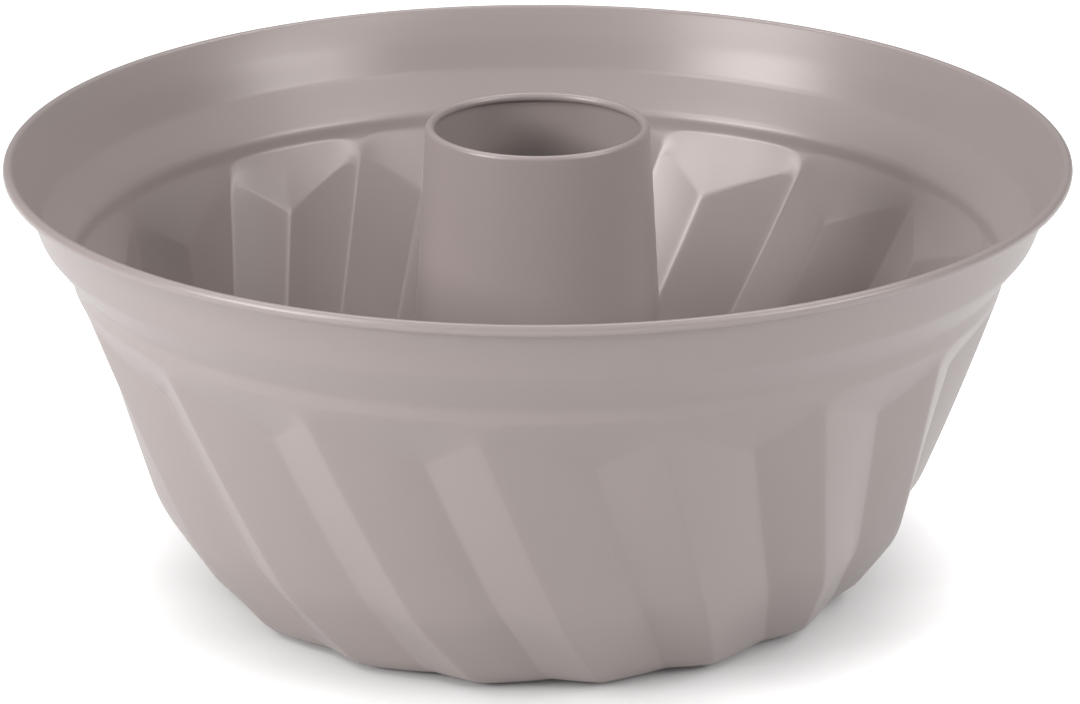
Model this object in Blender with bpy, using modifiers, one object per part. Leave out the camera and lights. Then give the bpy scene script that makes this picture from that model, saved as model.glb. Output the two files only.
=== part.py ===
"""Fluted tube pan: a pressed sheet-steel shell with spiral flutes and a rolled rim, and a drawn centre tube
whose foot is folded together with the shell's bottom edge in a lock seam.

Metres, +Z up. The origin is the middle of the face that the pan stands on.
Radii and heights of the sheet are those of its middle, unless a name or a comment says otherwise.
"""

import math

import bpy

# The sheet, and the gap that two touching layers keep
SHEET = 0.0006
CLEARANCE = 0.0003

# Rim and collar
RIM_RADIUS = 0.1200          # outermost, over the rolled edge
RIM_HEIGHT = 0.1015          # top of the rolled edge
RIM_ROLL_RADIUS = 0.00125    # outer radius of the rolled edge
RIM_ROLL_END = -120.0        # degrees, where the rolled edge stops under itself
COLLAR_HEIGHT = 0.0145       # rim top down to the shoulder
SHOULDER_RADIUS = 0.1121
SHOULDER_FILLET = 0.0055
SHOULDER_HEIGHT = 0.0086
BAND_RADIUS = 0.1054         # where the shoulder meets the plain band
BAND_FILLET = 0.0040
BAND_HEIGHT = 0.0035

# Wall and bottom
WALL_TOP_RADIUS = 0.1051     # below the band, where the flutes start
HAUNCH_RADIUS = 0.0871
HAUNCH_HEIGHT = 0.0206       # above the ground, where the wall leans in more
HAUNCH_FILLET = 0.0300
HEEL_RADIUS = 0.0727         # where the lower wall and the bottom would meet without their fillet
HEEL_FILLET = 0.0122
STAND_RING_WIDTH = 0.0064    # plain flat ring inside the flutes

# Flutes
FLUTE_COUNT = 17
FLUTE_DEPTH = 0.0042
FLUTE_LEAN_TOP = math.radians(14.8)    # between a ridge and the fall line of the wall, where the ridge starts
FLUTE_LEAN_FOOT = math.radians(24.6)   # the same at the end of the heel
FLUTE_PHASE = math.radians(9.25)       # of the first ridge where it starts
VALLEY_SHARE = 0.565                # of the pitch, from a ridge to the next valley
VALLEY_ROUND_SHARE = 0.035          # of the pitch, half the width of the valley's round bottom
RIDGE_DROP = 0.0042                 # from the band down to where a ridge starts
RAMP_LENGTH = 0.0113                # how much lower a valley starts than a ridge

# Centre tube
TUBE_HEIGHT = 0.1072
TUBE_TOP_RADIUS = 0.0253     # outer face at the top
TUBE_FOOT_RADIUS = 0.0312    # outer face where it would meet its flange without the fillet
TUBE_FOOT_FILLET = 0.0040
TUBE_ROLL_RADIUS = 0.0010    # outer radius of the edge rolled in at the top
TUBE_ROLL_END = 240.0        # degrees, where that edge stops under itself

# Lock seam between tube and shell
SEAM_LIFT = 0.0008           # underside of the seam above the ground
SEAM_SETBACK = 0.0010        # from the tube's fillet to the middle of the shell's fold
SEAM_WIDTH = 0.0056          # between the middles of the two folds
JOGGLE_RUN = 0.0015          # width of the step up to the seam

# Divisions
FLUTE_COLUMNS = 5
RIM_ROLL_STEPS = 7
SHOULDER_STEPS = 2
BAND_STEPS = 3
WALL_STEPS = 4
HEEL_STEPS = 4
FADE_STEPS = 2
FOLD_STEPS = 3
TURN_STEPS = 200
TUBE_COLUMNS = 44
TUBE_ROLL_STEPS = 5
TUBE_FILLET_STEPS = 3

# Layers of the seam, from the ground up
LAYER_PITCH = SHEET + CLEARANCE
SHELL_LAYER = SEAM_LIFT + SHEET / 2
TUBE_RETURN_LAYER = SHELL_LAYER + LAYER_PITCH
SHELL_RETURN_LAYER = TUBE_RETURN_LAYER + LAYER_PITCH
TUBE_LAYER = SHELL_RETURN_LAYER + LAYER_PITCH
SHELL_FOLD_RADIUS = TUBE_FOOT_RADIUS + TUBE_FOOT_FILLET + SEAM_SETBACK
TUBE_FOLD_RADIUS = SHELL_FOLD_RADIUS + SEAM_WIDTH
JOGGLE_TOP_RADIUS = TUBE_FOLD_RADIUS + LAYER_PITCH + SHEET
JOGGLE_FOOT_RADIUS = JOGGLE_TOP_RADIUS + JOGGLE_RUN
STAND_RING_RADIUS = JOGGLE_FOOT_RADIUS + STAND_RING_WIDTH

PITCH = 2 * math.pi / FLUTE_COUNT


class Path:
    """A line of straight runs and arcs in the plane of radius and height, walked by distance."""

    def __init__(self):
        self.runs = []
        self.length = 0.0
        self.marks = {}

    def mark(self, name):
        self.marks[name] = self.length

    def line(self, start, end):
        size = math.dist(start, end)
        ahead = ((end[0] - start[0]) / size, (end[1] - start[1]) / size)

        def place(s):
            return (start[0] + ahead[0] * s, start[1] + ahead[1] * s)

        self.runs.append((self.length, size, place, lambda s: ahead))
        self.length += size

    def arc(self, centre, radius, start, turn):
        """Angles in radians, from the outward radius towards the top. A positive turn is from outward to up."""
        way = math.copysign(1.0, turn)

        def place(s):
            angle = start + way * s / radius
            return (centre[0] + radius * math.cos(angle), centre[1] + radius * math.sin(angle))

        def ahead(s):
            angle = start + way * s / radius
            return (-way * math.sin(angle), way * math.cos(angle))

        size = radius * abs(turn)
        self.runs.append((self.length, size, place, ahead))
        self.length += size

    def rounded(self, corners):
        """Straight runs through (radius, height, fillet, name) corners. The first and the last have no fillet."""
        here = corners[0][:2]
        for before, corner, after in zip(corners, corners[1:], corners[2:]):
            came, goes = direction(before, corner), direction(corner, after)
            turn = math.atan2(came[0] * goes[1] - came[1] * goes[0], came[0] * goes[0] + came[1] * goes[1])
            cut = corner[2] * math.tan(abs(turn) / 2)
            starts = (corner[0] - came[0] * cut, corner[1] - came[1] * cut)
            self.line(here, starts)
            self.mark(corner[3])
            here = starts
            if corner[2] > 0:
                side = math.copysign(corner[2], turn)
                centre = (starts[0] - came[1] * side, starts[1] + came[0] * side)
                self.arc(centre, corner[2], math.atan2(starts[1] - centre[1], starts[0] - centre[0]), turn)
                self.mark(corner[3] + " end")
                here = (corner[0] + goes[0] * cut, corner[1] + goes[1] * cut)
        self.line(here, corners[-1][:2])

    def at(self, distance):
        """The point and the direction of travel at a distance."""
        distance = min(max(distance, 0.0), self.length)
        for start, size, place, ahead in self.runs:
            if distance <= start + size + 1e-9:
                s = min(max(distance - start, 0.0), size)
                return place(s), ahead(s)
        raise ValueError("the path is empty")


def direction(start, end):
    size = math.hypot(end[0] - start[0], end[1] - start[1])
    return (end[0] - start[0]) / size, (end[1] - start[1]) / size


def spread(start, end, steps):
    """Equal steps from start to end, with start left out."""
    return [start + (end - start) * (i + 1) / steps for i in range(steps)]


def shell_path():
    """The shell's section, from the free end of the rolled edge down the wall to its edge in the seam."""
    path = Path()
    roll = RIM_ROLL_RADIUS - SHEET / 2
    centre = (RIM_RADIUS - RIM_ROLL_RADIUS, RIM_HEIGHT - RIM_ROLL_RADIUS)
    shoulder = (SHOULDER_RADIUS, RIM_HEIGHT - COLLAR_HEIGHT)
    across, drop = centre[0] - shoulder[0], centre[1] - shoulder[1]
    lean = math.atan2(across, drop) - math.asin(roll / math.hypot(across, drop))
    start = math.radians(RIM_ROLL_END)
    collar_angle = math.pi - lean
    path.arc(centre, roll, start, collar_angle - start)
    path.mark("roll end")

    band = shoulder[1] - SHOULDER_HEIGHT
    ground = SHEET / 2
    path.rounded([
        (centre[0] + roll * math.cos(collar_angle), centre[1] + roll * math.sin(collar_angle)),
        (*shoulder, SHOULDER_FILLET, "shoulder"),
        (BAND_RADIUS, band, BAND_FILLET, "band"),
        (WALL_TOP_RADIUS, band - BAND_HEIGHT, 0, "flutes"),
        (HAUNCH_RADIUS, HAUNCH_HEIGHT, HAUNCH_FILLET, "haunch"),
        (HEEL_RADIUS, ground, HEEL_FILLET, "heel"),
        (STAND_RING_RADIUS, ground, 0, "ring"),
        (JOGGLE_FOOT_RADIUS, ground, 0, "joggle"),
        (JOGGLE_TOP_RADIUS, SHELL_LAYER, 0, "joggle top"),
        (SHELL_FOLD_RADIUS, SHELL_LAYER),
    ])
    path.mark("fold")
    path.arc((SHELL_FOLD_RADIUS, TUBE_RETURN_LAYER), LAYER_PITCH, -math.pi / 2, -math.pi)
    path.mark("fold end")
    path.line((SHELL_FOLD_RADIUS, SHELL_RETURN_LAYER), (TUBE_FOLD_RADIUS, SHELL_RETURN_LAYER))
    return path


def tube_path():
    """The tube's section, from the free end of its rolled edge down the wall to its edge in the seam."""
    path = Path()
    roll = TUBE_ROLL_RADIUS - SHEET / 2
    centre = (TUBE_TOP_RADIUS - TUBE_ROLL_RADIUS, TUBE_HEIGHT - TUBE_ROLL_RADIUS)
    foot = (TUBE_FOOT_RADIUS - SHEET / 2, TUBE_LAYER)
    across, drop = foot[0] - centre[0], centre[1] - foot[1]
    lean = math.atan2(across, drop) - math.asin(roll / math.hypot(across, drop))
    start = math.radians(TUBE_ROLL_END)
    path.arc(centre, roll, start, lean - start)
    path.mark("roll end")
    path.rounded([
        (centre[0] + roll * math.cos(lean), centre[1] + roll * math.sin(lean)),
        (*foot, TUBE_FOOT_FILLET, "foot"),
        (TUBE_FOLD_RADIUS, TUBE_LAYER),
    ])
    path.mark("fold")
    path.arc((TUBE_FOLD_RADIUS, SHELL_RETURN_LAYER), LAYER_PITCH, math.pi / 2, -math.pi)
    path.mark("fold end")
    path.line((TUBE_FOLD_RADIUS, TUBE_RETURN_LAYER), (SHELL_FOLD_RADIUS, TUBE_RETURN_LAYER))
    return path


def valley_share(share):
    """How deep the flute is at a share of its pitch: 0 on the ridge, 1 in the valley but for its round bottom."""
    if share < VALLEY_SHARE:
        depth = share / VALLEY_SHARE
    else:
        depth = (1 - share) / (1 - VALLEY_SHARE)
    return min(depth, 1 - VALLEY_ROUND_SHARE)


def flute_shares():
    """Columns of one flute: the ridge, the middle of the broad face, both sides of the valley and the narrow face."""
    low = VALLEY_SHARE - VALLEY_ROUND_SHARE
    high = VALLEY_SHARE + VALLEY_ROUND_SHARE
    return [0.0, low / 2, low, high, (1 + high) / 2]


def turned_at(path):
    """A function for how far the ridges have turned at a distance, as they lean more and more down the wall."""
    start, end = path.marks["flutes"] + RIDGE_DROP, path.marks["ring"]
    stride = (end - start) / TURN_STEPS
    steeper = (math.tan(FLUTE_LEAN_FOOT) - math.tan(FLUTE_LEAN_TOP)) / (path.marks["heel end"] - start)
    turned = [0.0]
    for i in range(TURN_STEPS):
        along = (i + 0.5) * stride
        lean = math.tan(FLUTE_LEAN_TOP) + steeper * along
        turned.append(turned[-1] + lean * stride / path.at(start + along)[0][0])

    def turn(distance):
        place = min(max((distance - start) / stride, 0.0), TURN_STEPS)
        below = min(int(place), TURN_STEPS - 1)
        return turned[below] + (turned[below + 1] - turned[below]) * (place - below)

    return turn


def fade(path, distance):
    """How much of the flutes' depth is left: all of it down to the haunch, none at the stand ring."""
    start, end = path.marks["haunch"], path.marks["ring"]
    share = min(max((distance - start) / (end - start), 0.0), 1.0)
    return (1 + math.cos(math.pi * share)) / 2


def shell_rows(path):
    """Rows of (distances, shares of the pitch, whether fluted), one distance and one share for each column."""
    marks = path.marks
    even = [i / FLUTE_COLUMNS for i in range(FLUTE_COLUMNS)]
    shares = flute_shares()
    rows = []

    def plain(distances):
        rows.extend(([distance] * FLUTE_COLUMNS, even, False) for distance in distances)

    def fluted(distances):
        rows.extend(([distance] * FLUTE_COLUMNS, shares, True) for distance in distances)

    plain([0.0])
    plain(spread(0.0, marks["roll end"], RIM_ROLL_STEPS))
    plain([marks["shoulder"]])
    plain(spread(marks["shoulder"], marks["shoulder end"], SHOULDER_STEPS))
    plain([marks["band"]])
    plain(spread(marks["band"], marks["band end"], BAND_STEPS))
    rows.append(([marks["flutes"]] * FLUTE_COLUMNS, shares, False))
    tops = [marks["flutes"] + RIDGE_DROP + RAMP_LENGTH * valley_share(share) for share in shares]
    rows.append((tops, shares, True))
    fluted(spread(max(tops), marks["haunch"], WALL_STEPS))
    fluted([marks["haunch end"], marks["heel"]])
    fluted(spread(marks["heel"], marks["heel end"], HEEL_STEPS))
    fluted(spread(marks["heel end"], marks["ring"], FADE_STEPS))
    plain([marks["joggle"], marks["joggle top"], marks["fold"]])
    plain(spread(marks["fold"], marks["fold end"], FOLD_STEPS))
    plain([path.length])
    return rows


def shell_points(path):
    """Points of the shell's middle face, row by row."""
    turn = turned_at(path)
    points = []
    for distances, shares, is_fluted in shell_rows(path):
        row = []
        for flute in range(FLUTE_COUNT):
            for distance, share in zip(distances, shares):
                (radius, height), ahead = path.at(distance)
                depth = 0.0
                if is_fluted:
                    depth = FLUTE_DEPTH * valley_share(share) * fade(path, distance)
                radius += ahead[1] * depth
                height -= ahead[0] * depth
                angle = FLUTE_PHASE + turn(distance) + (flute + share) * PITCH
                row.append((radius * math.cos(angle), radius * math.sin(angle), height))
        points.append(row)
    return points


def grid_mesh(name, rows):
    """A mesh of four-sided faces between closed rows of as many points each."""
    count = len(rows[0])
    points = [point for row in rows for point in row]
    faces = []
    for upper in range(len(rows) - 1):
        for i in range(count):
            here, along = upper * count + i, upper * count + (i + 1) % count
            faces.append((here, here + count, along + count, along))
    mesh = bpy.data.meshes.new(name)
    mesh.from_pydata(points, [], faces)
    return mesh


def give_wall(obj):
    """Thickens an open face to the sheet, half to each side."""
    solidify = obj.modifiers.new("sheet", "SOLIDIFY")
    solidify.thickness = SHEET
    solidify.offset = 0
    solidify.use_even_offset = True
    solidify.use_quality_normals = True


def make_shell(collection, finish):
    mesh = grid_mesh("fluted_shell", shell_points(shell_path()))
    mesh.shade_smooth()
    mesh.set_sharp_from_angle(angle=math.radians(15))
    mesh.materials.append(finish)
    shell = bpy.data.objects.new("fluted_shell", mesh)
    collection.objects.link(shell)
    give_wall(shell)
    return shell


def make_tube(collection, finish):
    path = tube_path()
    marks = path.marks
    distances = [0.0]
    distances += spread(0.0, marks["roll end"], TUBE_ROLL_STEPS)
    distances += [marks["foot"]]
    distances += spread(marks["foot"], marks["foot end"], TUBE_FILLET_STEPS)
    distances += [marks["fold"]]
    distances += spread(marks["fold"], marks["fold end"], FOLD_STEPS)
    distances += [path.length]
    points = []
    for distance in distances:
        radius, height = path.at(distance)[0]
        points.append((radius, 0.0, height))
    mesh = bpy.data.meshes.new("centre_tube")
    mesh.from_pydata(points, [(i, i + 1) for i in range(len(points) - 1)], [])
    mesh.materials.append(finish)
    tube = bpy.data.objects.new("centre_tube", mesh)
    collection.objects.link(tube)
    screw = tube.modifiers.new("turned", "SCREW")
    screw.axis = "Z"
    screw.steps = TUBE_COLUMNS
    screw.render_steps = TUBE_COLUMNS
    screw.use_merge_vertices = True
    screw.merge_threshold = 0.0001
    screw.use_smooth_shade = True
    give_wall(tube)
    return tube


def coated_steel(name, colour, roughness):
    finish = bpy.data.materials.new(name)
    finish.use_nodes = True
    shader = finish.node_tree.nodes["Principled BSDF"]
    shader.inputs["Base Color"].default_value = (*colour, 1.0)
    shader.inputs["Roughness"].default_value = roughness
    shader.inputs["Metallic"].default_value = 0.3
    return finish


def main():
    for obj in list(bpy.data.objects):
        bpy.data.objects.remove(obj)
    collection = bpy.data.collections.new("fluted_tube_pan")
    bpy.context.scene.collection.children.link(collection)
    make_shell(collection, coated_steel("shell_coating", (0.40, 0.34, 0.33), 0.42))
    make_tube(collection, coated_steel("tube_coating", (0.40, 0.34, 0.33), 0.42))


main()
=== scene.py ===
"""Looks of the fluted tube pan: its spiral-fluted shell and its centre tube as fine sheet metal meshes,
with their satin coating, on a pale floor in soft light.

Metres, +Z up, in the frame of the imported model, whose origin is the middle of the face that the pan
stands on. Radii and heights of the sheet are those of its middle, unless a comment says otherwise.
"""

import math

import bpy
from mathutils import Matrix, Vector


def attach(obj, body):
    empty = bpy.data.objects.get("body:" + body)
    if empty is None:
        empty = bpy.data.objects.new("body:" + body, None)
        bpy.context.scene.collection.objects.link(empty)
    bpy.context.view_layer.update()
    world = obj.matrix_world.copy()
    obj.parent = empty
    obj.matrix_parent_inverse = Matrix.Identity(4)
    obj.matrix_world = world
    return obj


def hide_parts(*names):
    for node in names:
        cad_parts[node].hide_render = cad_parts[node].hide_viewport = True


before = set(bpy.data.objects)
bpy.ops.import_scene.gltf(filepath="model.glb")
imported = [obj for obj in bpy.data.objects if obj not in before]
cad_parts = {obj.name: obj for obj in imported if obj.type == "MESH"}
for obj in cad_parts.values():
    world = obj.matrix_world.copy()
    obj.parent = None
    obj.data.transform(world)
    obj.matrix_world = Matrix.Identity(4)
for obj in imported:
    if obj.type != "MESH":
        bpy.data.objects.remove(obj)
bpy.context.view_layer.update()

# The sheet, and the gap that two touching layers keep
SHEET = 0.0006
CLEARANCE = 0.0003

# Rim and collar
RIM_RADIUS = 0.1200          # outermost, over the rolled edge
RIM_HEIGHT = 0.1015          # top of the rolled edge
RIM_ROLL_RADIUS = 0.00125    # outer radius of the rolled edge
RIM_ROLL_END = -120.0        # degrees, where the rolled edge stops under itself
COLLAR_HEIGHT = 0.0145       # rim top down to the shoulder
LIP_RADIUS = 0.1147          # where the collar's upper part starts to flare a little more
LIP_HEIGHT = 0.0072          # rim top down to there
LIP_FILLET = 0.0250
SHOULDER_RADIUS = 0.1121
SHOULDER_FILLET = 0.0055
SHOULDER_HEIGHT = 0.0086
BAND_RADIUS = 0.1054         # where the shoulder meets the plain band
BAND_FILLET = 0.0040
BAND_HEIGHT = 0.0035

# Wall and bottom
WALL_TOP_RADIUS = 0.1051     # below the band, where the flutes start
WALL_TOP_FILLET = 0.0060
HAUNCH_RADIUS = 0.0871
HAUNCH_HEIGHT = 0.0206       # above the ground, where the wall leans in more
HAUNCH_FILLET = 0.0300
HEEL_RADIUS = 0.0727         # where the lower wall and the bottom would meet without their fillet
HEEL_FILLET = 0.0122
STAND_RING_WIDTH = 0.0064    # plain flat ring inside the flutes

# Flutes
FLUTE_COUNT = 17
FLUTE_DEPTH = 0.0042
FLUTE_LEAN_TOP = math.radians(14.8)    # between a ridge and the wall's fall line, where the ridge starts
FLUTE_LEAN_FOOT = math.radians(24.6)   # the same at the end of the heel
FLUTE_PHASE = math.radians(9.25)       # of the first ridge where it starts
VALLEY_SHARE = 0.565         # of the pitch, from a ridge to the next valley
VALLEY_ROUND = 0.16          # of the flute's depth, over which the valley's bottom is round
RIDGE_ROUND = 0.037          # the same for a ridge
ARCH_DROP = 0.0022           # how much lower a flute's ramp starts at a ridge than in between
ARCH_SQUARENESS = 6.0        # the greater, the tighter the corners of the arch
RIDGE_DROP = 0.0042          # from the band down to where a ridge starts
RAMP_LENGTH = 0.0113         # how much lower a valley starts than a ridge
TIP_DROP = 0.0060            # how much further down a ramp runs out along the ridges
TIP_SHARPNESS = 14.0         # the greater, the narrower that tip
CREASE_ROUND = 0.06          # of the ramp's length, over which its creases are round

# Centre tube
TUBE_HEIGHT = 0.1072         # top of its rolled edge
TUBE_TOP_RADIUS = 0.0253     # outer face at the top
TUBE_FOOT_RADIUS = 0.0312    # outer face where it would meet its flange without the fillet
TUBE_FOOT_FILLET = 0.0040
TUBE_ROLL_RADIUS = 0.0010    # outer radius of the edge rolled in at the top
TUBE_ROLL_END = 240.0        # degrees, where that edge stops under itself

# Lock seam between tube and shell
SEAM_LIFT = 0.0008           # underside of the seam above the ground
SEAM_SETBACK = 0.0010        # from the tube's fillet to the middle of the shell's fold
SEAM_WIDTH = 0.0056          # between the middles of the two folds
JOGGLE_RUN = 0.0015          # width of the step up to the seam

# Fineness of the meshes
ARC_STEP = math.radians(4)   # of the sections' arcs
LINE_STEP = 0.002            # of the sections' straight runs
BROAD_COLUMNS = 12           # across the broad face of a flute
NARROW_COLUMNS = 12          # across its narrow face
COLUMN_GATHER = 0.94         # from 0, even columns, to 1, all close to the ridges and valleys
TUBE_COLUMNS = 160
MERGE_DISTANCE = 0.00001

# Rows of the shell's mesh down to each mark of its section, from the one before
ROWS_ABOVE_BAND = {
    "roll end": 16, "lip": 2, "lip end": 3, "shoulder": 2, "shoulder end": 6, "band": 2, "band end": 6,
}
ROWS_BELOW_WALL = {"haunch end": 7, "heel": 2, "heel end": 9, "ring": 7}
ROWS_INSIDE_RING = {"joggle": 2, "joggle top": 2, "fold": 2, "fold end": 10}
BAND_ROWS = 3
RAMP_TOP_ROWS = 9            # in the ramps' upper crease
RAMP_ROWS = 7                # between their creases
RAMP_FOOT_ROWS = 8           # in their lower crease
WALL_ROWS = 14

# Layers of the seam, from the ground up
LAYER_PITCH = SHEET + CLEARANCE
SHELL_LAYER = SEAM_LIFT + SHEET / 2
TUBE_RETURN_LAYER = SHELL_LAYER + LAYER_PITCH
SHELL_RETURN_LAYER = TUBE_RETURN_LAYER + LAYER_PITCH
TUBE_LAYER = SHELL_RETURN_LAYER + LAYER_PITCH
SHELL_FOLD_RADIUS = TUBE_FOOT_RADIUS + TUBE_FOOT_FILLET + SEAM_SETBACK
TUBE_FOLD_RADIUS = SHELL_FOLD_RADIUS + SEAM_WIDTH
JOGGLE_TOP_RADIUS = TUBE_FOLD_RADIUS + LAYER_PITCH + SHEET
JOGGLE_FOOT_RADIUS = JOGGLE_TOP_RADIUS + JOGGLE_RUN
STAND_RING_RADIUS = JOGGLE_FOOT_RADIUS + STAND_RING_WIDTH

# Camera
CAMERA_AIM = Vector((0.0005, 0.0, 0.0525))
CAMERA_DISTANCE = 1.0546
CAMERA_ELEVATION = math.radians(20.007)
CAMERA_ROLL = math.radians(-0.013)
CAMERA_LENS = 153.44         # millimetres
CAMERA_SENSOR = 36.0         # millimetres, its width

# Coating
COATING_COLOUR = (0.408, 0.350, 0.338)
COATING_METALLIC = 0.08
COATING_ROUGHNESS = 0.34
ROUGHNESS_SPREAD = 0.04      # between the smoothest and the roughest places, about
CLOUD_SIZE = 0.03            # of the coating's faint darker and lighter places
CLOUD_STRENGTH = 0.04
CLOUD_DETAIL = 3.0           # number of finer and finer layers in them
CLOUD_FINENESS = 0.55        # how strong each layer is against the one before
PEBBLE_SIZE = 0.0006         # of the coating's fine grain
PEBBLE_HEIGHT = 0.0001
PEBBLE_STRENGTH = 0.06
PEBBLE_DETAIL = 2.0
PEBBLE_FINENESS = 0.5

# Floor and light
FLOOR_COLOUR = (0.74, 0.74, 0.74)
FLOOR_ROUGHNESS = 0.9
FLOOR_SHINE = 0.0
FLOOR_SIZE = 6.0
FLOOR_GLOW = 0.63            # what the camera and reflections see of it on top of the lamps' light
PAINTED_SHADOW_REACH = 0.022        # how far from the pan the glow is dimmed at most, which paints a contact shadow on the floor
WORLD_STRENGTH = 0.20
LAMP_DISTANCE = 1.2
LAMP_WIDTH = 0.6
LAMP_TALLNESS = 0.25
# Each lamp's place in degrees, to the right of the camera's side and up from the floor, and its power
LAMPS = {
    "low left lamp": (-56, 21, 6.9),
    "left lamp": (-60, 43, 3.9),
    "low right lamp": (62, 25, 4.3),
    "right lamp": (60, 48, 1.9),
    "back left lamp": (-150, 60, 2.5),
    "back right lamp": (150, 60, 2.4),
}


# Sections of the sheet

class Path:
    """A line of straight runs and arcs in the plane of radius and height, walked by distance."""

    def __init__(self):
        self.points = []
        self.length = 0.0
        self.marks = {}

    def mark(self, name):
        self.marks[name] = self.length

    def line(self, start, end):
        size = math.dist(start, end)
        steps = max(1, math.ceil(size / LINE_STEP))
        for share in spread(0.0, 1.0, steps):
            radius = start[0] + (end[0] - start[0]) * share
            height = start[1] + (end[1] - start[1]) * share
            self.points.append((radius, height))
        self.length += size

    def arc(self, centre, radius, start, turn):
        """Angles in radians, from outward. A positive turn goes from outward to up."""
        for angle in spread(start, start + turn, math.ceil(abs(turn) / ARC_STEP)):
            self.points.append(on_circle(centre, radius, angle))
        self.length += radius * abs(turn)

    def rounded(self, corners):
        """Straight runs through corners of (radius, height, fillet, name). Neither end has a fillet."""
        here = corners[0][:2]
        for before, corner, after in zip(corners, corners[1:], corners[2:]):
            came = direction(before, corner)
            goes = direction(corner, after)
            cross = came[0] * goes[1] - came[1] * goes[0]
            dot = came[0] * goes[0] + came[1] * goes[1]
            turn = math.atan2(cross, dot)
            cut = corner[2] * math.tan(abs(turn) / 2)
            starts = (corner[0] - came[0] * cut, corner[1] - came[1] * cut)
            self.line(here, starts)
            self.mark(corner[3])
            here = starts
            if corner[2] > 0:
                side = math.copysign(corner[2], turn)
                centre = (starts[0] - came[1] * side, starts[1] + came[0] * side)
                first_angle = math.atan2(starts[1] - centre[1], starts[0] - centre[0])
                self.arc(centre, corner[2], first_angle, turn)
                self.mark(corner[3] + " end")
                here = (corner[0] + goes[0] * cut, corner[1] + goes[1] * cut)
        self.line(here, corners[-1][:2])


def direction(start, end):
    size = math.dist(start[:2], end[:2])
    return (end[0] - start[0]) / size, (end[1] - start[1]) / size


def on_circle(centre, radius, angle):
    return centre[0] + radius * math.cos(angle), centre[1] + radius * math.sin(angle)


def spread(start, end, steps):
    """Equal steps from start to end, with start left out."""
    return [start + (end - start) * (i + 1) / steps for i in range(steps)]


def rolled_edge(path, centre, radius, start, corner):
    """Starts a path with a rolled edge. Gives the point where its straight run to the corner begins."""
    across, drop = corner[0] - centre[0], centre[1] - corner[1]
    lean = math.atan2(across, drop)
    slack = math.asin(radius / math.hypot(across, drop))
    leaves = lean - slack if start > math.pi else math.pi + lean + slack
    path.points.append(on_circle(centre, radius, start))
    path.arc(centre, radius, start, leaves - start)
    path.mark("roll end")
    return on_circle(centre, radius, leaves)


def shell_path():
    """The shell's section, from the rolled edge's free end down the wall to the edge in the seam."""
    path = Path()
    centre = (RIM_RADIUS - RIM_ROLL_RADIUS, RIM_HEIGHT - RIM_ROLL_RADIUS)
    lip = (LIP_RADIUS, RIM_HEIGHT - LIP_HEIGHT)
    shoulder = (SHOULDER_RADIUS, RIM_HEIGHT - COLLAR_HEIGHT)
    band = shoulder[1] - SHOULDER_HEIGHT
    ground = SHEET / 2
    start = rolled_edge(path, centre, RIM_ROLL_RADIUS - SHEET / 2, math.radians(RIM_ROLL_END), lip)
    path.rounded([
        start,
        (*lip, LIP_FILLET, "lip"),
        (*shoulder, SHOULDER_FILLET, "shoulder"),
        (BAND_RADIUS, band, BAND_FILLET, "band"),
        (WALL_TOP_RADIUS, band - BAND_HEIGHT, WALL_TOP_FILLET, "flutes"),
        (HAUNCH_RADIUS, HAUNCH_HEIGHT, HAUNCH_FILLET, "haunch"),
        (HEEL_RADIUS, ground, HEEL_FILLET, "heel"),
        (STAND_RING_RADIUS, ground, 0, "ring"),
        (JOGGLE_FOOT_RADIUS, ground, 0, "joggle"),
        (JOGGLE_TOP_RADIUS, SHELL_LAYER, 0, "joggle top"),
        (SHELL_FOLD_RADIUS, SHELL_LAYER),
    ])
    path.mark("fold")
    path.arc((SHELL_FOLD_RADIUS, TUBE_RETURN_LAYER), LAYER_PITCH, -math.pi / 2, -math.pi)
    path.mark("fold end")
    path.line((SHELL_FOLD_RADIUS, SHELL_RETURN_LAYER), (TUBE_FOLD_RADIUS, SHELL_RETURN_LAYER))
    return path


def tube_path():
    """The tube's section, from the rolled edge's free end down the wall to the edge in the seam."""
    path = Path()
    centre = (TUBE_TOP_RADIUS - TUBE_ROLL_RADIUS, TUBE_HEIGHT - TUBE_ROLL_RADIUS)
    foot = (TUBE_FOOT_RADIUS - SHEET / 2, TUBE_LAYER)
    start = rolled_edge(path, centre, TUBE_ROLL_RADIUS - SHEET / 2, math.radians(TUBE_ROLL_END), foot)
    path.rounded([
        start,
        (*foot, TUBE_FOOT_FILLET, "foot"),
        (TUBE_FOLD_RADIUS, TUBE_LAYER),
    ])
    path.arc((TUBE_FOLD_RADIUS, SHELL_RETURN_LAYER), LAYER_PITCH, math.pi / 2, -math.pi)
    path.line((TUBE_FOLD_RADIUS, TUBE_RETURN_LAYER), (SHELL_FOLD_RADIUS, TUBE_RETURN_LAYER))
    return path


def flute_start(path):
    """The middle of the fillet between the band and the wall."""
    return (path.marks["flutes"] + path.marks["flutes end"]) / 2


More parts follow.
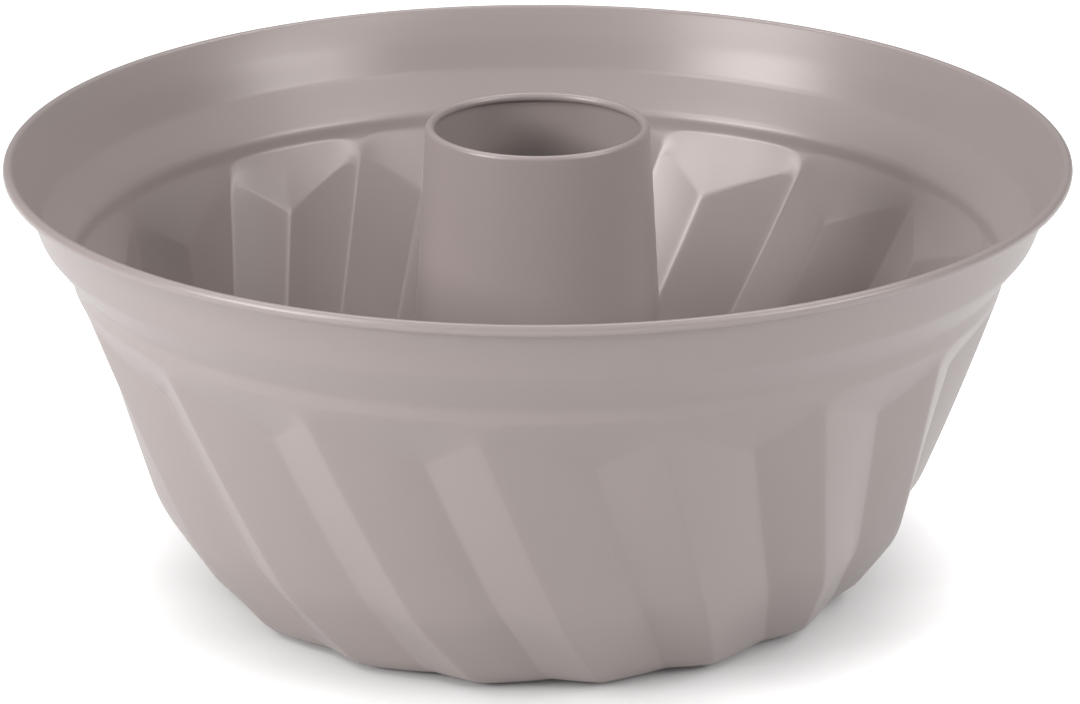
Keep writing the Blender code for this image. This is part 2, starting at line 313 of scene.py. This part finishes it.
def shell_rows(path):
    """The mesh's rows, top to bottom, each as (distance, arch share, foot share, depth share).

    A row lies at its distance, plus its arch share of the arch's drop and its foot share of the ramp's
    foot, which both change along the row. It has reached its depth share of the flutes' depth.
    """
    marks = path.marks
    top = flute_start(path)
    before_ramp, after_ramp = -2 * CREASE_ROUND, 1 + 2 * CREASE_ROUND
    rows = [(0.0, 0.0, 0.0, 0.0)]

    def level_rows(start, stops, depth_share):
        for stop, count in stops.items():
            for distance in spread(start, marks[stop], count):
                rows.append((distance, 0.0, 0.0, depth_share))
            start = marks[stop]

    def ramp_rows(start, end, count):
        for share in spread(start, end, count):
            rows.append((top, 1.0 - share, share, smooth_step(share, CREASE_ROUND)))

    level_rows(0.0, ROWS_ABOVE_BAND, 0.0)
    for share in spread(0.0, 1.0, BAND_ROWS)[:-1]:
        distance = marks["band end"] * (1 - share) + top * share
        rows.append((distance, share * (1 - before_ramp), share * before_ramp, 0.0))
    ramp_rows(before_ramp - CREASE_ROUND / 2, -before_ramp, RAMP_TOP_ROWS)
    ramp_rows(-before_ramp, 1 + before_ramp, RAMP_ROWS)
    ramp_rows(1 + before_ramp, after_ramp, RAMP_FOOT_ROWS)
    for share in spread(0.0, 1.0, WALL_ROWS):
        distance = top * (1 - share) + marks["haunch"] * share
        rows.append((distance, (1 - after_ramp) * (1 - share), after_ramp * (1 - share), 1.0))
    level_rows(marks["haunch"], ROWS_BELOW_WALL, 1.0)
    level_rows(marks["ring"], ROWS_INSIDE_RING, 0.0)
    rows.append((path.length, 0.0, 0.0, 0.0))
    return rows


def smooth_step(share, round_share):
    """Rises straight from 0 at 0 to 1 at 1, with both corners rounded."""
    lower = max(share, 0.0) + max(round_share - abs(share), 0.0) ** 2 / (4 * round_share)
    return min(lower, 1.0) - max(round_share - abs(lower - 1.0), 0.0) ** 2 / (4 * round_share)


# Geometry nodes and shader nodes as formulas

class Field:
    """A node's output. Signs of arithmetic on it add Math nodes to its tree."""

    def __init__(self, tree, socket):
        self.tree = tree
        self.socket = socket

    def __add__(self, other):
        return calculate("ADD", self, other)

    def __sub__(self, other):
        return calculate("SUBTRACT", self, other)

    def __rsub__(self, other):
        return calculate("SUBTRACT", other, self)

    def __mul__(self, other):
        return calculate("MULTIPLY", self, other)

    def __rmul__(self, other):
        return calculate("MULTIPLY", other, self)

    def __truediv__(self, other):
        return calculate("DIVIDE", self, other)

    def __rtruediv__(self, other):
        return calculate("DIVIDE", other, self)

    def __pow__(self, other):
        return calculate("POWER", self, other)


def feed(tree, socket, value):
    """Joins a socket to a field, or sets it to a plain value."""
    if isinstance(value, Field):
        tree.links.new(value.socket, socket)
    else:
        socket.default_value = value


def calculate(operation, *values):
    tree = next(value.tree for value in values if isinstance(value, Field))
    node = tree.nodes.new("ShaderNodeMath")
    node.operation = operation
    for socket, value in zip(node.inputs, values):
        feed(tree, socket, value)
    return Field(tree, node.outputs[0])


def clamped(field):
    return calculate("MINIMUM", calculate("MAXIMUM", field, 0.0), 1.0)


def add_node(tree, kind, settings=None, **inputs):
    """Adds a node, with its settings and its inputs. Underscores in an input's name stand for spaces."""
    node = tree.nodes.new(kind)
    for name, value in (settings or {}).items():
        setattr(node, name, value)
    for name, value in inputs.items():
        feed(tree, node.inputs[name.replace("_", " ")], value)
    return node


def output(tree, node, name):
    return Field(tree, node.outputs[name])


def add_inputs(tree, sockets):
    """Makes the tree's named inputs and returns a function that gives one of them by its name."""
    for name, kind in sockets:
        tree.interface.new_socket(name, in_out="INPUT", socket_type=kind)
    group_input = tree.nodes.new("NodeGroupInput")
    return lambda name: Field(tree, group_input.outputs[name])


def set_inputs(modifier, values):
    """Sets a modifier's inputs by the identifiers of their sockets."""
    for item in modifier.node_group.interface.items_tree:
        if item.item_type == "SOCKET" and item.in_out == "INPUT" and item.name in values:
            modifier[item.identifier] = values[item.name]


# Steps that both pieces share

def linked(name, data):
    """A new object of this data, in the scene."""
    thing = bpy.data.objects.new(name, data)
    bpy.context.scene.collection.objects.link(thing)
    return thing


def section_object(name, path):
    """The section as a line of edges in the XZ plane, at +X."""
    points = [(radius, 0.0, height) for radius, height in path.points]
    mesh = bpy.data.meshes.new(name)
    mesh.from_pydata(points, [(i, i + 1) for i in range(len(points) - 1)], [])
    return linked(name, mesh)


def give_wall(obj):
    """Thickens an open face to the sheet, half to each side."""
    solidify = obj.modifiers.new("sheet", "SOLIDIFY")
    solidify.thickness = SHEET
    solidify.offset = 0
    solidify.use_even_offset = True
    solidify.use_quality_normals = True


def finished(name, source):
    """A plain mesh object of what the source's modifiers make. The source is removed."""
    evaluated = source.evaluated_get(bpy.context.evaluated_depsgraph_get())
    mesh = bpy.data.meshes.new_from_object(evaluated)
    mesh.name = name
    bpy.data.objects.remove(source)
    return linked(name, mesh)


# The shell

def flute_tree():
    """Wraps the shell's section round the axis, and presses the spiral flutes into it."""
    tree = bpy.data.node_groups.new("spiral flutes", "GeometryNodeTree")
    given = add_inputs(tree, [
        ("Rows", "NodeSocketGeometry"),
        ("Section", "NodeSocketObject"),
        ("Coating", "NodeSocketMaterial"),
        ("Flutes", "NodeSocketInt"),
        ("Broad Columns", "NodeSocketInt"),
        ("Narrow Columns", "NodeSocketInt"),
        ("Column Gather", "NodeSocketFloat"),
        ("Depth", "NodeSocketFloat"),
        ("Valley Share", "NodeSocketFloat"),
        ("Valley Round", "NodeSocketFloat"),
        ("Ridge Round", "NodeSocketFloat"),
        ("Arch Drop", "NodeSocketFloat"),
        ("Arch Squareness", "NodeSocketFloat"),
        ("Ridge Drop", "NodeSocketFloat"),
        ("Ramp Length", "NodeSocketFloat"),
        ("Tip Drop", "NodeSocketFloat"),
        ("Tip Sharpness", "NodeSocketFloat"),
        ("Phase", "NodeSocketFloat"),
        ("Lean Top", "NodeSocketFloat"),
        ("Lean Foot", "NodeSocketFloat"),
        ("Turn Start", "NodeSocketFloat"),
        ("Turn Foot", "NodeSocketFloat"),
        ("Fade Start", "NodeSocketFloat"),
        ("Fade End", "NodeSocketFloat"),
    ])
    tree.interface.new_socket("Shell", in_out="OUTPUT", socket_type="NodeSocketGeometry")

    section = add_node(tree, "GeometryNodeObjectInfo", Object=given("Section"))
    curve = add_node(tree, "GeometryNodeMeshToCurve", Mesh=output(tree, section, "Geometry"))
    curve = output(tree, curve, "Curve")
    rows = add_node(tree, "GeometryNodeAttributeDomainSize", Geometry=given("Rows"))
    row_count = output(tree, rows, "Point Count")
    per_flute = given("Broad Columns") + given("Narrow Columns")
    columns = given("Flutes") * per_flute
    sleeve = add_node(
        tree, "GeometryNodeMeshCylinder", {"fill_type": "NONE"},
        Vertices=columns, Side_Segments=row_count - 1, Radius=1.0, Depth=1.0,
    )

    position = add_node(tree, "GeometryNodeInputPosition")
    place = add_node(tree, "ShaderNodeSeparateXYZ", Vector=output(tree, position, "Position"))
    row = calculate("ROUND", (0.5 - output(tree, place, "Z")) * (row_count - 1))
    angle = calculate("ARCTAN2", output(tree, place, "Y"), output(tree, place, "X"))
    column = calculate("FLOORED_MODULO", calculate("ROUND", angle / math.tau * columns), columns)
    flute = calculate("FLOOR", column / per_flute)
    share = flute_share(given, column - flute * per_flute)
    dip = calculate(
        "SMOOTH_MIN", share / given("Valley Share"), (1.0 - share) / (1.0 - given("Valley Share")),
        given("Valley Round"),
    )

    def of_row(name):
        attribute = add_node(tree, "GeometryNodeInputNamedAttribute", Name=name)
        sample = add_node(
            tree, "GeometryNodeSampleIndex",
            Geometry=given("Rows"), Value=output(tree, attribute, "Attribute"), Index=row,
        )
        return output(tree, sample, "Value")

    arch = given("Arch Drop") * (1.0 - dip) ** given("Arch Squareness")
    tip = given("Tip Drop") * (1.0 - dip) ** given("Tip Sharpness")
    foot = given("Ridge Drop") + given("Ramp Length") * dip + tip
    distance = of_row("distance") + of_row("arch_share") * arch + of_row("foot_share") * foot
    sample = add_node(
        tree, "GeometryNodeSampleCurve", {"mode": "LENGTH"},
        Curves=curve, Value=ridge_turn(tree, given), Length=distance,
    )
    point = add_node(tree, "ShaderNodeSeparateXYZ", Vector=output(tree, sample, "Position"))
    ahead = add_node(tree, "ShaderNodeSeparateXYZ", Vector=output(tree, sample, "Tangent"))

    faded = clamped((distance - given("Fade Start")) / (given("Fade End") - given("Fade Start")))
    left_over = (calculate("COSINE", faded * math.pi) + 1.0) / 2.0
    near_ridge = calculate("MINIMUM", dip, given("Ridge Round"))
    rounded = dip - near_ridge + near_ridge ** 2.0 / (2.0 * given("Ridge Round"))
    depth = given("Depth") * rounded * of_row("depth_share") * left_over
    radius = output(tree, point, "X") + output(tree, ahead, "Z") * depth
    height = output(tree, point, "Z") - output(tree, ahead, "X") * depth
    angle = given("Phase") + output(tree, sample, "Value") + (flute + share) * math.tau / given("Flutes")
    moved = add_node(
        tree, "ShaderNodeCombineXYZ",
        X=radius * calculate("COSINE", angle), Y=radius * calculate("SINE", angle), Z=height,
    )
    steps = [
        ("GeometryNodeSetPosition", "Geometry", {"Position": output(tree, moved, "Vector")}),
        ("GeometryNodeSetShadeSmooth", "Geometry", {}),
        ("GeometryNodeRealizeInstances", "Geometry", {}),
        ("GeometryNodeSetMaterial", "Geometry", {"Material": given("Coating")}),
    ]
    geometry = output(tree, sleeve, "Mesh")
    for kind, socket, inputs in steps:
        geometry = output(tree, add_node(tree, kind, None, **{socket: geometry}, **inputs), "Geometry")
    group_output = tree.nodes.new("NodeGroupOutput")
    feed(tree, group_output.inputs["Shell"], geometry)
    return tree


def flute_share(given, place):
    """Where a column lies in its flute's pitch, from its place among the flute's columns."""
    def gathered(even):
        return even - calculate("SINE", even * math.tau) * given("Column Gather") / math.tau

    is_narrow = calculate("GREATER_THAN", place, given("Broad Columns") - 0.5)
    broad = given("Valley Share") * gathered(place / given("Broad Columns"))
    along = gathered((place - given("Broad Columns")) / given("Narrow Columns"))
    narrow = given("Valley Share") + (1.0 - given("Valley Share")) * along
    return broad + (narrow - broad) * is_narrow


def ridge_turn(tree, given):
    """How far the ridges have turned at each point of the section, as they lean more and more."""
    length = output(tree, add_node(tree, "GeometryNodeSplineParameter"), "Length")
    position = add_node(tree, "GeometryNodeInputPosition")
    place = add_node(tree, "ShaderNodeSeparateXYZ", Vector=output(tree, position, "Position"))
    radius = output(tree, place, "X")
    index = output(tree, add_node(tree, "GeometryNodeInputIndex"), "Index")
    before = calculate("MAXIMUM", index - 1.0, 0.0)

    def one_back(field):
        node = add_node(tree, "GeometryNodeFieldAtIndex", Value=field, Index=before)
        return output(tree, node, "Value")

    middle = (length + one_back(length)) / 2.0
    share = (middle - given("Turn Start")) / (given("Turn Foot") - given("Turn Start"))
    top, foot = calculate("TANGENT", given("Lean Top")), calculate("TANGENT", given("Lean Foot"))
    below_start = calculate("GREATER_THAN", middle, given("Turn Start"))
    inside = below_start * calculate("LESS_THAN", middle, given("Fade End"))
    stride = (top + (foot - top) * share) * (length - one_back(length))
    turn = inside * stride / ((radius + one_back(radius)) / 2.0)
    return output(tree, add_node(tree, "GeometryNodeAccumulateField", Value=turn), "Leading")


def rows_object(rows):
    """A cloud of points, one for each row, with the row's values as attributes."""
    mesh = bpy.data.meshes.new("shell rows")
    mesh.from_pydata([(0.0, 0.0, 0.0)] * len(rows), [], [])
    for i, name in enumerate(("distance", "arch_share", "foot_share", "depth_share")):
        attribute = mesh.attributes.new(name, "FLOAT", "POINT")
        attribute.data.foreach_set("value", [row[i] for row in rows])
    return linked("shell rows", mesh)


def make_shell(coating):
    path = shell_path()
    marks = path.marks
    section = section_object("shell section", path)
    source = rows_object(shell_rows(path))
    modifier = source.modifiers.new("flutes", "NODES")
    modifier.node_group = flute_tree()
    set_inputs(modifier, {
        "Section": section,
        "Coating": coating,
        "Flutes": FLUTE_COUNT,
        "Broad Columns": BROAD_COLUMNS,
        "Narrow Columns": NARROW_COLUMNS,
        "Column Gather": COLUMN_GATHER,
        "Depth": FLUTE_DEPTH,
        "Valley Share": VALLEY_SHARE,
        "Valley Round": VALLEY_ROUND,
        "Ridge Round": RIDGE_ROUND,
        "Arch Drop": ARCH_DROP,
        "Arch Squareness": ARCH_SQUARENESS,
        "Ridge Drop": RIDGE_DROP,
        "Ramp Length": RAMP_LENGTH,
        "Tip Drop": TIP_DROP,
        "Tip Sharpness": TIP_SHARPNESS,
        "Phase": FLUTE_PHASE,
        "Lean Top": FLUTE_LEAN_TOP,
        "Lean Foot": FLUTE_LEAN_FOOT,
        "Turn Start": flute_start(path) + RIDGE_DROP,
        "Turn Foot": marks["heel end"],
        "Fade Start": marks["haunch"],
        "Fade End": marks["ring"],
    })
    give_wall(source)
    shell = finished("shell", source)
    bpy.data.objects.remove(section)
    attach(shell, "root")
    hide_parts("fluted_shell")


# The centre tube

def make_tube(coating):
    source = section_object("tube section", tube_path())
    source.data.materials.append(coating)
    screw = source.modifiers.new("turned", "SCREW")
    screw.axis = "Z"
    screw.steps = TUBE_COLUMNS
    screw.render_steps = TUBE_COLUMNS
    screw.use_merge_vertices = True
    screw.merge_threshold = MERGE_DISTANCE
    screw.use_smooth_shade = True
    give_wall(source)
    tube = finished("tube", source)
    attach(tube, "root")
    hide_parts("centre_tube")


# Materials

def coating_texture():
    """The fine pebbling and the cloudiness of a sprayed and baked coating, by place on the object."""
    tree = bpy.data.node_groups.new("coating texture", "ShaderNodeTree")
    given = add_inputs(tree, [
        ("Vector", "NodeSocketVector"),
        ("Colour", "NodeSocketColor"),
        ("Cloud Size", "NodeSocketFloat"),
        ("Cloud Strength", "NodeSocketFloat"),
        ("Pebble Size", "NodeSocketFloat"),
        ("Roughness", "NodeSocketFloat"),
        ("Roughness Spread", "NodeSocketFloat"),
    ])
    tree.interface.new_socket("Colour", in_out="OUTPUT", socket_type="NodeSocketColor")
    tree.interface.new_socket("Roughness", in_out="OUTPUT", socket_type="NodeSocketFloat")
    tree.interface.new_socket("Height", in_out="OUTPUT", socket_type="NodeSocketFloat")

    clouds = add_node(
        tree, "ShaderNodeTexNoise", Vector=given("Vector"), Scale=1.0 / given("Cloud Size"),
        Detail=CLOUD_DETAIL, Roughness=CLOUD_FINENESS,
    )
    pebbles = add_node(
        tree, "ShaderNodeTexNoise", Vector=given("Vector"), Scale=1.0 / given("Pebble Size"),
        Detail=PEBBLE_DETAIL, Roughness=PEBBLE_FINENESS,
    )
    cloud = output(tree, clouds, "Fac") - 0.5
    pebble = output(tree, pebbles, "Fac")
    lighter = cloud * given("Cloud Strength") + 1.0
    shade = add_node(tree, "ShaderNodeHueSaturation", Color=given("Colour"), Value=lighter)
    rough = given("Roughness") + (cloud + (pebble - 0.5)) * given("Roughness Spread")
    group_output = tree.nodes.new("NodeGroupOutput")
    feed(tree, group_output.inputs["Colour"], output(tree, shade, "Color"))
    feed(tree, group_output.inputs["Roughness"], rough)
    feed(tree, group_output.inputs["Height"], pebble)
    return tree


def coated_steel(name, texture):
    """Satin non-stick coating on sheet steel."""
    material = bpy.data.materials.new(name)
    material.use_nodes = True
    tree = material.node_tree
    shader = tree.nodes["Principled BSDF"]
    coordinates = add_node(tree, "ShaderNodeTexCoord")
    surface = add_node(
        tree, "ShaderNodeGroup", {"node_tree": texture},
        Vector=output(tree, coordinates, "Object"), Colour=(*COATING_COLOUR, 1.0),
        Cloud_Size=CLOUD_SIZE, Cloud_Strength=CLOUD_STRENGTH, Pebble_Size=PEBBLE_SIZE,
        Roughness=COATING_ROUGHNESS, Roughness_Spread=ROUGHNESS_SPREAD,
    )
    bump = add_node(
        tree, "ShaderNodeBump", Height=output(tree, surface, "Height"),
        Strength=PEBBLE_STRENGTH, Distance=PEBBLE_HEIGHT,
    )
    feed(tree, shader.inputs["Base Color"], output(tree, surface, "Colour"))
    feed(tree, shader.inputs["Roughness"], output(tree, surface, "Roughness"))
    feed(tree, shader.inputs["Normal"], output(tree, bump, "Normal"))
    shader.inputs["Metallic"].default_value = COATING_METALLIC
    return material


def floor_paper():
    """Pale paper that glows for the camera and in reflections, and so is white but for the lamps' shadow
    and a painted contact shadow, where the glow is dimmed near the pan.
    """
    material = bpy.data.materials.new("floor paper")
    material.use_nodes = True
    tree = material.node_tree
    shader = tree.nodes["Principled BSDF"]
    shader.inputs["Base Color"].default_value = (*FLOOR_COLOUR, 1.0)
    shader.inputs["Roughness"].default_value = FLOOR_ROUGHNESS
    shader.inputs["Specular IOR Level"].default_value = FLOOR_SHINE
    shader.inputs["Emission Color"].default_value = (1.0, 1.0, 1.0, 1.0)
    light_path = add_node(tree, "ShaderNodeLightPath")
    seen = output(tree, light_path, "Is Camera Ray") + output(tree, light_path, "Is Glossy Ray")
    seen = seen + output(tree, light_path, "Is Transmission Ray")
    # Painted contact shadow: the glow fades by how much the pan closes off each point of the floor near
    # it
    painted_shadow_openness = add_node(tree, "ShaderNodeAmbientOcclusion", Distance=PAINTED_SHADOW_REACH)
    glow = clamped(seen) * output(tree, painted_shadow_openness, "AO") * FLOOR_GLOW
    feed(tree, shader.inputs["Emission Strength"], glow)
    return material


# Floor, light and camera

def make_floor():
    half = FLOOR_SIZE / 2
    corners = [(-half, -half, 0), (half, -half, 0), (half, half, 0), (-half, half, 0)]
    mesh = bpy.data.meshes.new("floor")
    mesh.from_pydata(corners, [], [(0, 1, 2, 3)])
    mesh.materials.append(floor_paper())
    floor = linked("floor", mesh)


def make_world():
    world = bpy.data.worlds.new("studio")
    world.use_nodes = True
    background = world.node_tree.nodes["Background"]
    background.inputs["Color"].default_value = (1.0, 1.0, 1.0, 1.0)
    background.inputs["Strength"].default_value = WORLD_STRENGTH
    bpy.context.scene.world = world


def from_camera_side(turn, height):
    """The direction so far to the right of the camera's side, and so far up from the floor."""
    level = math.cos(height)
    return Vector((math.sin(turn) * level, -math.cos(turn) * level, math.sin(height)))


def make_lamps():
    for name, (turn, height, power) in LAMPS.items():
        light = bpy.data.lights.new(name, "AREA")
        light.shape = "RECTANGLE"
        light.size = LAMP_WIDTH
        light.size_y = LAMP_TALLNESS
        light.energy = power
        lamp = linked(name, light)
        way = from_camera_side(math.radians(turn), math.radians(height))
        lamp.location = CAMERA_AIM + way * LAMP_DISTANCE
        lamp.rotation_euler = way.to_track_quat("Z", "Y").to_euler()


def make_camera():
    lens = bpy.data.cameras.new("camera")
    lens.sensor_width = CAMERA_SENSOR
    lens.lens = CAMERA_LENS
    camera = linked("camera", lens)
    back = from_camera_side(0.0, CAMERA_ELEVATION)
    camera.location = CAMERA_AIM + back * CAMERA_DISTANCE
    level = back.to_track_quat("Z", "Y").to_matrix()
    camera.rotation_euler = (level @ Matrix.Rotation(CAMERA_ROLL, 3, "Z")).to_euler()
    bpy.context.scene.camera = camera


def main():
    texture = coating_texture()
    make_shell(coated_steel("shell coating", texture))
    make_tube(coated_steel("tube coating", texture))
    make_floor()
    make_world()
    make_lamps()
    make_camera()
    bpy.context.scene.view_settings.view_transform = "Standard"


main()
